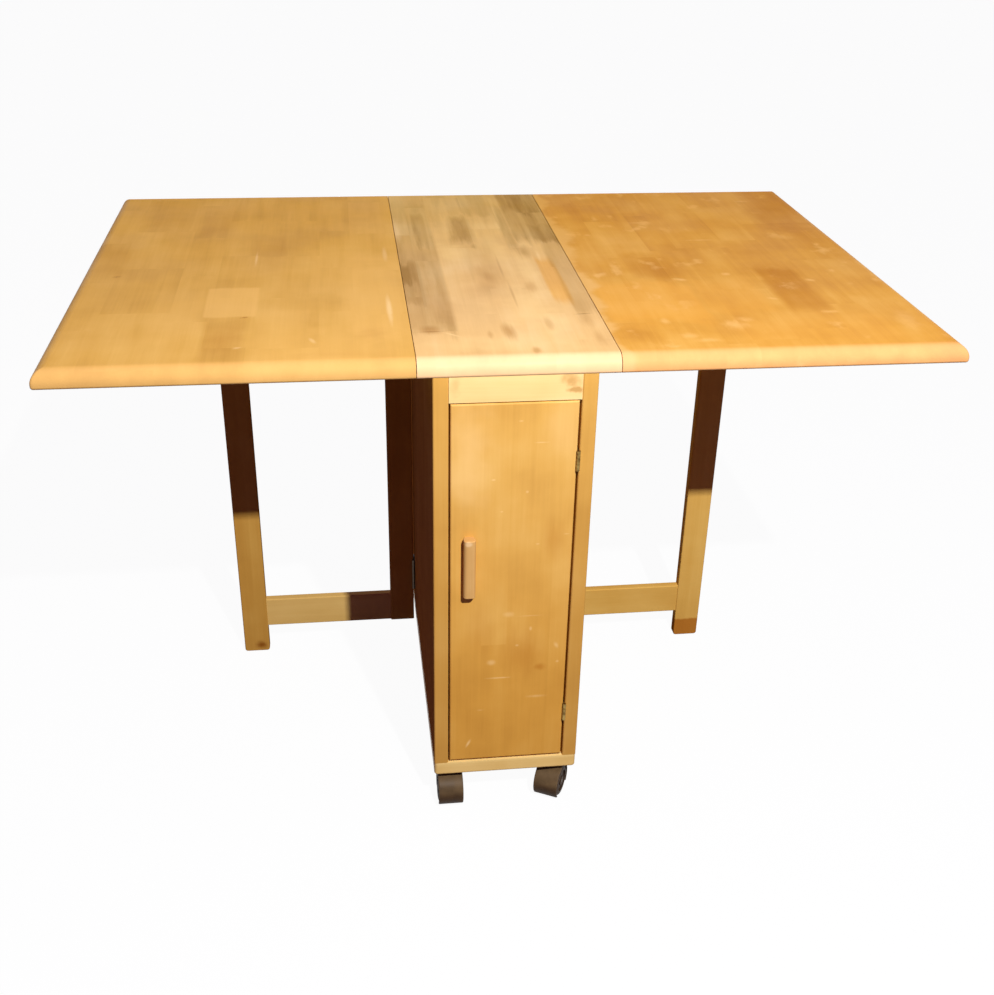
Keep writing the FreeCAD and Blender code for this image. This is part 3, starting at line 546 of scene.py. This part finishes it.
def right_leaf_wood():
    """The right leaf, whose varnish has flaked in small pale scabs."""
    wood = Wood("right leaf wood", Y, RIGHT_TONES, seed=7.0)
    wood.staves(X, start=SEAM, width=0.064, length=0.2, contrast=0.09)
    colour = wood.colour(mottle=0.26)
    soft = wood.wavy(1.2)
    colour = wood.stained(colour, wood.zones(RIGHT_DARK_ZONES, soft, blur=1.8), RIGHT_DARK_STAVE)
    colour = wood.stained(colour, wood.marks(RIGHT_DARK_MARKS, "top", soft), RIGHT_STAIN)
    colour = wood.paled(colour, wood.zones(RIGHT_BRIGHT_ZONES, soft, blur=1.8), RIGHT_BRIGHT, 0.5)
    worn = seam_wear(wood)
    colour = wood.paled(colour, worn, WORN_PALE)
    colour = wood.paled(colour, flaking(wood), FLAKE, 0.45)
    colour = painted_edge_highlight(wood, colour, RIGHT_EDGE_HIGHLIGHT, 0.35)
    colour = yellowed_and_shaded_back(wood, colour, RIGHT_YELLOW)
    scratches = wood.marks(RIGHT_SCRATCHES, "top", wood.ragged(1.1, CRUMBLED))
    colour = wood.paled(colour, scratches, FLAKE, 0.6)
    return wood.varnish(colour, worn=wood.most((scratches, worn)), gloss=TOP_GLOSS)


def centre_wood():
    """The centre section, whose varnish has gone: grime has soaked into its staves."""
    wood = Wood("centre top wood", Y, CENTRE_TONES, seed=5.0)
    wood.staves(X, start=-SEAM + CENTRE_STAVES_SHIFT, width=0.0516, length=0.3, contrast=0.06)
    colour = wood.colour()
    soft = wood.wavy(1.6)
    brushed = wood.ragged(1.8, BRUSHED)
    cloud = wood.noise(wood.along_grain(BRUSHED), detail=4.0)
    streaky = wood.smooth(cloud, CLOUD_LOW, CLOUD_HIGH, 0.6, 1.0)
    colour = wood.paled(colour, wood.marks(CENTRE_PALE, "top", soft), CENTRE_BARE, 0.6)
    colour = wood.stained(colour, wood.zones(CENTRE_ORANGE_ZONES, brushed), ORANGE_STAVE)
    colour = wood.stained(colour, wood.marks(CENTRE_BROWN, "top", soft), CENTRE_STAIN)
    soaked = (wood.zones(CENTRE_GRIME_ZONES, brushed), wood.marks(CENTRE_GRIME, "top", brushed))
    grime = wood.times(wood.most(soaked), streaky)
    colour = wood.stained(colour, grime, GRIME)
    colour = wood.stained(colour, wood.marks(CENTRE_BLOTS, "top", brushed), BLOT)
    colour = wood.stained(colour, wood.marks(CENTRE_LINES, "top", wood.ragged(0.8)), DARK_LINE)
    colour = yellowed_and_shaded_back(wood, colour, CENTRE_YELLOW)
    colour = painted_edge_highlight(wood, colour, CENTRE_EDGE_HIGHLIGHT, 0.45)
    scratches = wood.marks(CENTRE_SCRATCHES, "top", wood.ragged(0.9))
    colour = wood.paled(colour, scratches, SCRATCH, 0.6)
    return wood.varnish(colour, roughness=0.38, worn=grime, gloss=CENTRE_GLOSS)


def door_wood():
    """The door, browner towards the floor, with knocks and scratches."""
    wood = Wood("door wood", Z, CABINET_TONES, seed=4.0)
    wood.staves(X, start=door_low.x, width=0.045, length=4.0, contrast=0.06)
    colour = wood.colour(streak=0.09, figure=0.14, mottle=0.26)
    colour = wood.paled(colour, wood.marks(DOOR_PALE, "door", wood.wavy(1.0)), DOOR_BARE)
    colour = wood.stained(colour, wood.smooth(wood.xyz[Z], 0.62, 0.16), DOOR_FOOT)
    colour = wood.stained(colour, wood.marks(DOOR_SMUDGES, "door", wood.ragged(1.0)), DOOR_SMUDGE)
    scratches = wood.marks(DOOR_SCRATCHES, "door", wood.ragged(1.0))
    colour = wood.paled(colour, scratches, SCRATCH, 0.6)
    return wood.varnish(colour, worn=scratches)


def side_panel_wood():
    """The side panels and the back, greyer towards the floor."""
    wood = Wood("side panel wood", Z, CABINET_TONES, seed=2.0)
    colour = wood.colour()
    # Darker towards the floor and a little darker all over: partly painted shade.
    low = wood.smooth(wood.xyz[Z], 0.74, 0.25, 0.3, 1.0)
    return wood.varnish(wood.stained(colour, low, PANEL_DARKENING), roughness=0.6, gloss=0.0)


def rail_wood():
    """The rail above the door, with finger smudges near its ends."""
    wood = Wood("rail wood", X, RAIL_TONES, seed=6.0)
    colour = wood.colour()
    smudges = wood.marks(RAIL_SMUDGES, "door", wood.wavy(1.4, 90.0))
    return wood.varnish(wood.stained(colour, smudges, RAIL_SMUDGE))


def bottom_board_wood():
    """The bottom board, with its upper edge paled: a painted highlight."""
    board_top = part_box("bottom_board")[1].z
    wood = Wood("bottom board wood", X, BOARD_TONES, seed=8.0)
    colour = wood.colour(streak=0.18, mottle=0.28)
    # A pale strip along the board's upper edge: painted highlight.
    edge_highlight = wood.smooth(wood.xyz[Z], board_top - 0.006, board_top, 0.0, 0.4)
    return wood.varnish(wood.paled(colour, edge_highlight, BOARD_EDGE_HIGHLIGHT))


def leg_wood(side):
    """A gate leg: the right foot is stained all round by wet floors, the left one has a spot."""
    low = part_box(f"gate_leg_{side}")[0]
    wood = Wood(f"{side} leg wood", Z, GATE_TONES[side], seed=12.0)
    colour = wood.colour()
    if side == "right":
        foot = wood.smooth(wood.add(wood.xyz[Z], wood.ragged(0.012)), 0.038, 0.033)
        stain = RIGHT_FOOT
    else:
        foot = wood.spot((low.x + 0.03, low.y, 0.012), (0.016, 0.02, 0.013),
                         ragged=wood.wavy(0.8, 60.0), inner=0.0)
        stain = LEFT_FOOT
    return wood.varnish(wood.stained(colour, foot, stain), gloss=0.0)


def pull_wood():
    """The door's pull, chipped at its upper end."""
    low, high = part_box("door_handle")
    wood = Wood("pull wood", Z, PULL_TONES, seed=11.0)
    colour = wood.colour()
    chip_place = ((low.x + high.x) / 2 - 0.002, low.y, high.z - 0.004)
    chip = wood.spot(chip_place, (0.007, 0.008, 0.005), ragged=wood.ragged(0.6))
    return wood.varnish(wood.paled(colour, chip, PULL_CHIP, 0.5), roughness=0.4, worn=chip)


def board_wood(name, grain, tones, seed):
    """Plain wood without marks."""
    wood = Wood(name, grain, tones, seed)
    return wood.varnish(wood.colour(), gloss=0.0)


# Hardware
BRUSH_LINES = (900, 60, 900)
CASTING_BUMP = 0.15
BRUSH_BUMP = 0.1
MOULD_BUMP = 0.2
RELIEF = 0.0002
PLASTIC_CLOUD = 45.0
PLASTIC_GRAIN = 1600.0
PLASTIC_GLOSS = 0.1
PLASTIC_DULLER = 0.1
# Painted shade on the lower part of a caster hood, fading in between these heights.
HOOD_SHADE_TOP = 0.036
HOOD_SHADE_FULL = 0.024
HOOD_LOWER_SHADE = (198, 185, 178)


def metal(name, dark, light, clouds, dull, bright, brushed=False):
    """Old metal with clouds of tarnish, dull where they are dark."""
    made = Finish(name)
    cloud = made.noise(made.place, clouds, detail=4.0)
    made.shader.inputs["Metallic"].default_value = 1.0
    if brushed:
        made.bump(made.noise(made.stretched(made.place, BRUSH_LINES)), BRUSH_BUMP, RELIEF)
    else:
        made.bump(cloud, CASTING_BUMP, RELIEF)
    roughness = made.smooth(cloud, CLOUD_LOW, CLOUD_HIGH, dull, bright)
    return made.finish(made.clouded(cloud, dark, light), roughness)


def plastic(name, dark, light, roughness, painted_shade=None):
    """Moulded plastic; on a caster hood, darker low down: painted shade under the hood's curve."""
    made = Finish(name)
    cloud = made.noise(made.place, PLASTIC_CLOUD, detail=4.0)
    colour = made.clouded(cloud, dark, light)
    if painted_shade is not None:
        low = made.smooth(made.axes(made.place)[Z], HOOD_SHADE_TOP, HOOD_SHADE_FULL)
        colour = made.mix(low, colour, srgb(*painted_shade), "MULTIPLY")
    made.shader.inputs["Specular IOR Level"].default_value = PLASTIC_GLOSS
    made.bump(made.noise(made.place, PLASTIC_GRAIN, detail=2.0), MOULD_BUMP, RELIEF)
    spread = made.smooth(cloud, CLOUD_LOW, CLOUD_HIGH, roughness, roughness + PLASTIC_DULLER)
    return made.finish(colour, spread)


def dress(material, *names):
    """Put a material on CAD nodes."""
    for name in names:
        for slot in parts[name].material_slots:
            slot.material = material


dress(left_leaf_wood(), "leaf_left")
dress(right_leaf_wood(), "leaf_right")
dress(centre_wood(), "centre_top")
dress(side_panel_wood(), "side_panel_left", "side_panel_right", "back_panel")
dress(door_wood(), "door_panel")
dress(rail_wood(), "front_top_rail")
dress(bottom_board_wood(), "bottom_board")
dress(board_wood("cleat wood", Y, BOARD_TONES, 9.0), "top_cleat_left", "top_cleat_right")
dress(pull_wood(), "door_handle")
for side in SIDES:
    dress(board_wood(f"{side} gate stile wood", Z, GATE_TONES[side], 13.0), f"gate_stile_{side}")
    dress(leg_wood(side), f"gate_leg_{side}")
    rail = board_wood(f"{side} gate rail wood", X, GATE_RAIL_TONES[side], 14.0)
    dress(rail, f"gate_top_rail_{side}", f"gate_bottom_rail_{side}", f"stop_block_{side}")

brass = metal("tarnished brass", (104, 78, 40), (178, 150, 88), 260.0, 0.5, 0.34)
steel = metal("plated steel", (150, 146, 136), (196, 192, 182), 120.0, 0.5, 0.36, brushed=True)
# A darker copy of the steel for the gate hinges and the caster axles, which sit in shade: painted
# shade.
shaded_steel = metal("shaded hinge steel", (66, 56, 48), (96, 84, 72), 120.0, 0.6, 0.5)
dress(brass, "door_hinge_fixed", "door_hinge_moving", "door_hinge_pins")
for side in SIDES:
    for hinge, finish in (("leaf", steel), ("gate", shaded_steel)):
        dress(finish, *(f"{hinge}_hinge_{side}_{piece}" for piece in ("fixed", "moving", "pins")))
dress(steel, "strike_plate")
hood_plastic = plastic("caster hood plastic", (72, 56, 37), (100, 80, 54), 0.42, HOOD_LOWER_SHADE)
wheel_plastic = plastic("caster wheel plastic", (46, 33, 24), (68, 52, 38), 0.5)
dress(plastic("catch plastic", (104, 80, 58), (128, 102, 76), 0.5), "door_catch")
for corner in CORNERS:
    dress(steel, f"caster_plate_{corner}", f"caster_stem_{corner}")
    dress(shaded_steel, f"caster_axle_{corner}")
    dress(hood_plastic, f"caster_hood_{corner}")
    dress(wheel_plastic, f"caster_wheels_{corner}")


# Screws
SCREW_RADIUS = 0.0029
SCREW_SUNK = 0.0003
CROSS_LENGTH = 0.0034
CROSS_WIDTH = 0.0008
CROSS_DEPTH_SHARE = 0.8
RIM_SHARE = 0.7
HAIR = 0.00001
SMOOTH_BELOW = math.radians(35)
FLUSH = 0.00012
PROUD = 0.0005
CROSS_TURN = math.radians(37)
DOWN, BACK = (0, 0, -1), (0, 1, 0)

# Places in mm; steps are from the middle of the piece that the screws hold.
HINGE_PLATE = 1.5
LEAF_HINGES = (-310, 310)
LEAF_STEPS = (-22, 0, 22)
LEAF_FIXED_X = 117
LEAF_MOVING_X = 150
LEAF_STAGGER = 8
GATE_HINGES = (150, 640)
GATE_STEPS = (-18, 18)
GATE_FIXED_FACE = 109.2
GATE_MOVING_FACE = 109.6
STOP_STEPS = (-15, 15)
CLEAT_X = 76
CLEAT_ROWS = (-280, 0, 280)
DOOR_HINGES = (172, 590)
DOOR_STEPS = (-9, 9)
DOOR_SCREW_Y = -359
DOOR_FIXED_FACE = 86.0
DOOR_MOVING_FACE = 85.4
CASTER_STEPS = (-14, 14)
CATCH_PLACES = (-74, -46)
CATCH_HEIGHT = 688
STRIKE_PLACES = (-71, -49)
STRIKE_HEIGHT = 667
PULL_STEPS = (-28, 28)


# Dark cloudy colour for the screws' cross recesses: painted shade.
def recess_shade():
    painted_shade = Finish("screw recess shade")
    cloud = painted_shade.noise(painted_shade.place, 900.0, detail=3.0)
    return painted_shade.finish(painted_shade.clouded(cloud, (34, 30, 26), (66, 58, 48)), 0.75)


def screw_head(name, rise):
    """A flat head on the origin, facing +Z: a disc with an eased rim and a cross cut into it."""
    bpy.ops.object.select_all(action="DESELECT")
    depth = rise + SCREW_SUNK
    bpy.ops.mesh.primitive_cylinder_add(vertices=32, radius=SCREW_RADIUS, depth=depth,
                                        location=(0, 0, rise - depth / 2))
    bpy.ops.object.transform_apply(location=True)
    head = bpy.context.object
    head.name = name
    bpy.context.tool_settings.mesh_select_mode = (False, True, False)
    bpy.ops.object.mode_set(mode="EDIT")
    bpy.ops.mesh.select_all(action="DESELECT")
    bpy.ops.object.mode_set(mode="OBJECT")
    points = head.data.vertices
    for edge in head.data.edges:
        edge.select = all(points[end].co.z > rise - HAIR for end in edge.vertices)
    bpy.ops.object.mode_set(mode="EDIT")
    bpy.ops.mesh.bevel(offset=RIM_SHARE * rise, segments=3)
    bpy.ops.object.mode_set(mode="OBJECT")
    for turn in (0, math.pi / 2):
        bpy.ops.object.select_all(action="DESELECT")
        bpy.ops.mesh.primitive_cube_add(
            size=1, location=(0, 0, rise), rotation=(0, 0, turn),
            scale=(CROSS_LENGTH, CROSS_WIDTH, 2 * CROSS_DEPTH_SHARE * rise))
        cutter = bpy.context.object
        bpy.context.view_layer.objects.active = head
        recess = head.modifiers.new("recess", "BOOLEAN")
        recess.operation = "DIFFERENCE"
        recess.object = cutter
        bpy.ops.object.modifier_apply(modifier="recess")
        bpy.data.objects.remove(cutter)
    head.select_set(True)
    bpy.ops.object.shade_smooth_by_angle(angle=SMOOTH_BELOW)
    for face in head.data.polygons:
        inside = face.center.xy.length < CROSS_LENGTH / 2 + HAIR
        face.material_index = int(inside and 0 < face.center.z < rise - HAIR)
    return head


def fasten(pattern, finish, painted_shade, name, body, facing, places):
    """Copies of a screw head on places in mm, each turned a little further than the last."""
    face = Vector(facing).to_track_quat("Z", "Y").to_matrix().to_4x4()
    for number, place in enumerate(places):
        screw = pattern.copy()
        screw.data = pattern.data.copy()
        screw.name = f"screw_{name}_{number + 1}"
        bpy.context.scene.collection.objects.link(screw)
        turned = face @ Matrix.Rotation(number * CROSS_TURN, 4, "Z")
        screw.data.transform(Matrix.Translation(Vector(place) * MM) @ turned)
        for material in (finish, painted_shade):
            screw.data.materials.append(material)
        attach(screw, body)


def side_screws(side, sign, flush, proud, painted_shade):
    """Screws of one side: leaf hinges, gate hinges, stop block and cleat."""
    plate_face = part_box("leaf_left")[0].z / MM - HINGE_PLATE
    cleat_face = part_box("top_cleat_left")[0].z / MM
    rows = [middle + step for middle in LEAF_HINGES for step in LEAF_STEPS]
    fasten(proud, steel, painted_shade, f"leaf_hinge_{side}_fixed", "cabinet", DOWN,
           [(sign * LEAF_FIXED_X, y, plate_face) for y in rows])
    fasten(proud, steel, painted_shade, f"leaf_hinge_{side}_moving", f"leaf_{side}", DOWN,
           [(sign * (LEAF_MOVING_X + LEAF_STAGGER * (-1) ** number), y, plate_face)
            for number, y in enumerate(rows)])
    stile_low, stile_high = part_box(f"gate_stile_{side}")
    gate_y = (stile_low.y + stile_high.y) / 2 / MM
    heights = [middle + step for middle in GATE_HINGES for step in GATE_STEPS]
    fasten(flush, shaded_steel, painted_shade, f"gate_hinge_{side}_fixed", "cabinet",
           (sign, 0, 0), [(sign * GATE_FIXED_FACE, gate_y, z) for z in heights])
    fasten(flush, shaded_steel, painted_shade, f"gate_hinge_{side}_moving", f"gate_{side}",
           (-sign, 0, 0), [(sign * GATE_MOVING_FACE, gate_y, z) for z in heights])
    block_low, block_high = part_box(f"stop_block_{side}")
    block = (block_low + block_high) / 2 / MM
    fasten(proud, steel, painted_shade, f"stop_block_{side}", f"leaf_{side}", DOWN,
           [(block.x + step, block.y, block_low.z / MM) for step in STOP_STEPS])
    fasten(proud, steel, painted_shade, f"cleat_{side}", "cabinet", DOWN,
           [(sign * CLEAT_X, y, cleat_face) for y in CLEAT_ROWS])


def door_hinge_screws(flush, painted_shade):
    """Screws of the door's two hinges."""
    heights = [middle + step for middle in DOOR_HINGES for step in DOOR_STEPS]
    fasten(flush, brass, painted_shade, "door_hinge_fixed", "cabinet", (-1, 0, 0),
           [(DOOR_FIXED_FACE, DOOR_SCREW_Y, z) for z in heights])
    fasten(flush, brass, painted_shade, "door_hinge_moving", "door", (1, 0, 0),
           [(DOOR_MOVING_FACE, DOOR_SCREW_Y, z) for z in heights])


def catch_and_pull_screws(flush, proud, painted_shade):
    """Screws of the catch on the rail, and of the strike plate and the pull on the door."""
    catch_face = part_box("door_catch")[1].y / MM
    fasten(proud, steel, painted_shade, "catch", "cabinet", BACK,
           [(x, catch_face, CATCH_HEIGHT) for x in CATCH_PLACES])
    strike_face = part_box("strike_plate")[1].y / MM
    fasten(flush, steel, painted_shade, "strike", "door", BACK,
           [(x, strike_face, STRIKE_HEIGHT) for x in STRIKE_PLACES])
    pull_low, pull_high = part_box("door_handle")
    pull = (pull_low + pull_high) / 2 / MM
    fasten(proud, steel, painted_shade, "pull", "door", BACK,
           [(pull.x, door_high.y / MM, pull.z + step) for step in PULL_STEPS])


def caster_screws(corner, proud, painted_shade):
    """The four screws of one caster's plate."""
    caster_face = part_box("caster_plate_front_left")[0].z / MM
    low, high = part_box(f"caster_plate_{corner}")
    middle = (low + high) / 2 / MM
    fasten(proud, steel, painted_shade, f"caster_plate_{corner}", "cabinet", DOWN,
           [(middle.x + x, middle.y + y, caster_face) for x in CASTER_STEPS for y in CASTER_STEPS])


def screws():
    """All screw heads: flush ones in butt hinges and the strike plate, proud ones elsewhere."""
    painted_shade = recess_shade()
    flush = screw_head("flush_screw", FLUSH)
    proud = screw_head("proud_screw", PROUD)
    for side, sign in zip(SIDES, (-1, 1)):
        side_screws(side, sign, flush, proud, painted_shade)
    door_hinge_screws(flush, painted_shade)
    for corner in CORNERS:
        caster_screws(corner, proud, painted_shade)
    catch_and_pull_screws(flush, proud, painted_shade)
    for pattern in (flush, proud):
        bpy.data.objects.remove(pattern)


screws()


# Studio. Lamps: place, aim, size and power.
KEY = ((0.39, -2.15, 2.38), (0.0, -0.05, 0.55), 0.05, 103.0)
OVERHEAD = ((-0.15, 0.1, 3.4), (-0.1, 0.1, 0.75), 1.6, 4.0)
BEHIND = ((0.0, 3.4, 0.75), (0.0, 0.4, 0.45), 0.8, 50.0)
FILL = (0.076, 0.023, 0.13, 1)
TOP_BOARDS = ("centre_top", "leaf_left", "leaf_right")
CABINET_FRONT = ("front_top_rail", "side_panel_left", "side_panel_right", "door_panel",
                 "door_handle", "bottom_board", "door_hinge_fixed", "door_hinge_moving",
                 "door_hinge_pins")

FLOOR_SIZE = 60.0
FLOOR_DARK, FLOOR_LIGHT = (0.86, 0.86, 0.86, 1), (0.90, 0.90, 0.90, 1)
FLOOR_BOUNCE = (0.09, 0.055, 0.05, 1)
FLOOR_GLOW = 0.96

CAMERA_PLACE = (-0.2151, -1.8054, 1.3227)
CAMERA_YAW = -0.13343
CAMERA_PITCH = 0.49525
CAMERA_ROLL = 0.02244
CAMERA_LENS = 44.52
CAMERA_SENSOR = 36.0


def floor():
    """A floor that looks nearly white with a soft shadow, but sends little light up again."""
    bpy.ops.object.select_all(action="DESELECT")
    bpy.ops.mesh.primitive_plane_add(size=FLOOR_SIZE)
    ground = bpy.context.object
    ground.name = "floor"
    paint = Finish("pale floor")
    tree = paint.tree
    tone = paint.noise(paint.place, 3.0, detail=2.0)
    pale = paint.ramp(tone, (0.0, FLOOR_DARK), (1.0, FLOOR_LIGHT))
    glow = paint.node("ShaderNodeEmission")
    glow.inputs["Color"].default_value = WHITE
    seen = paint.node("ShaderNodeLightPath").outputs
    paint.finish(paint.mix(seen["Is Diffuse Ray"], pale, FLOOR_BOUNCE), 0.9)
    share = paint.most([seen[f"Is {kind} Ray"] for kind in ("Camera", "Glossy", "Transmission")])
    both = paint.node("ShaderNodeMixShader")
    paint.feed(both.inputs[0], paint.times(share, FLOOR_GLOW))
    tree.links.new(paint.shader.outputs[0], both.inputs[1])
    tree.links.new(glow.outputs[0], both.inputs[2])
    tree.links.new(both.outputs[0], tree.nodes["Material Output"].inputs["Surface"])
    ground.data.materials.append(paint.material)


def sky():
    """Even fill light from all round, and white where the camera or a gloss sees past the floor."""
    world = bpy.data.worlds.new("studio")
    bpy.context.scene.world = world
    world.use_nodes = True
    tree = world.node_tree
    back = tree.nodes["Background"]
    seen = tree.nodes.new("ShaderNodeLightPath").outputs
    direct = tree.nodes.new("ShaderNodeMath")
    direct.operation = "MAXIMUM"
    tree.links.new(seen["Is Camera Ray"], direct.inputs[0])
    tree.links.new(seen["Is Glossy Ray"], direct.inputs[1])
    shown = tree.nodes.new("ShaderNodeMix")
    shown.data_type = "RGBA"
    tree.links.new(direct.outputs[0], shown.inputs[0])
    shown.inputs[6].default_value = FILL
    shown.inputs[7].default_value = WHITE
    tree.links.new(shown.outputs[2], back.inputs["Color"])


def softbox(name, place, aim, size, power):
    lamp = bpy.data.lights.new(name, "AREA")
    lamp.size = size
    lamp.energy = power
    stand = bpy.data.objects.new(name, lamp)
    bpy.context.scene.collection.objects.link(stand)
    stand.location = place
    stand.rotation_euler = (Vector(aim) - Vector(place)).to_track_quat("-Z", "Y").to_euler()
    return stand


def link(lamp, role, pieces, state):
    """Give some pieces alone to a lamp, or keep them from it, to be lit or to cast shadows."""
    group = bpy.data.collections.new(f"{lamp.name} {role}")
    for piece in pieces:
        group.objects.link(piece)
    for entry in group.collection_objects:
        entry.light_linking.link_state = state
    setattr(lamp.light_linking, role, group)


def lights():
    """The key light and its twin for the cabinet's front, which the top casts no shadow on."""
    front = [parts[name] for name in CABINET_FRONT]
    boards = [parts[name] for name in TOP_BOARDS]
    key = softbox("key light", *KEY)
    softbox("overhead light", *OVERHEAD)
    behind = softbox("back light", *BEHIND)
    behind.visible_glossy = False
    link(behind, "receiver_collection", [bpy.data.objects["floor"]], "EXCLUDE")
    link(key, "receiver_collection", front, "EXCLUDE")
    twin = softbox("cabinet key light", *KEY)
    link(twin, "receiver_collection", front, "INCLUDE")
    link(twin, "blocker_collection", boards, "EXCLUDE")


def camera():
    """The photograph's viewpoint: place, turns and lens, from a fit to the table's edges."""
    lens = bpy.data.cameras.new("camera")
    lens.lens = CAMERA_LENS
    lens.sensor_width = CAMERA_SENSOR
    lens.sensor_fit = "AUTO"
    eye = bpy.data.objects.new("camera", lens)
    bpy.context.scene.collection.objects.link(eye)
    turn = Matrix.Rotation(CAMERA_YAW, 4, "Z")
    turn = turn @ Matrix.Rotation(math.pi / 2 - CAMERA_PITCH, 4, "X")
    turn = turn @ Matrix.Rotation(CAMERA_ROLL, 4, "Z")
    eye.matrix_world = Matrix.Translation(CAMERA_PLACE) @ turn
    bpy.context.scene.camera = eye


floor()
sky()
lights()
camera()
bpy.context.scene.view_settings.view_transform = "Standard"
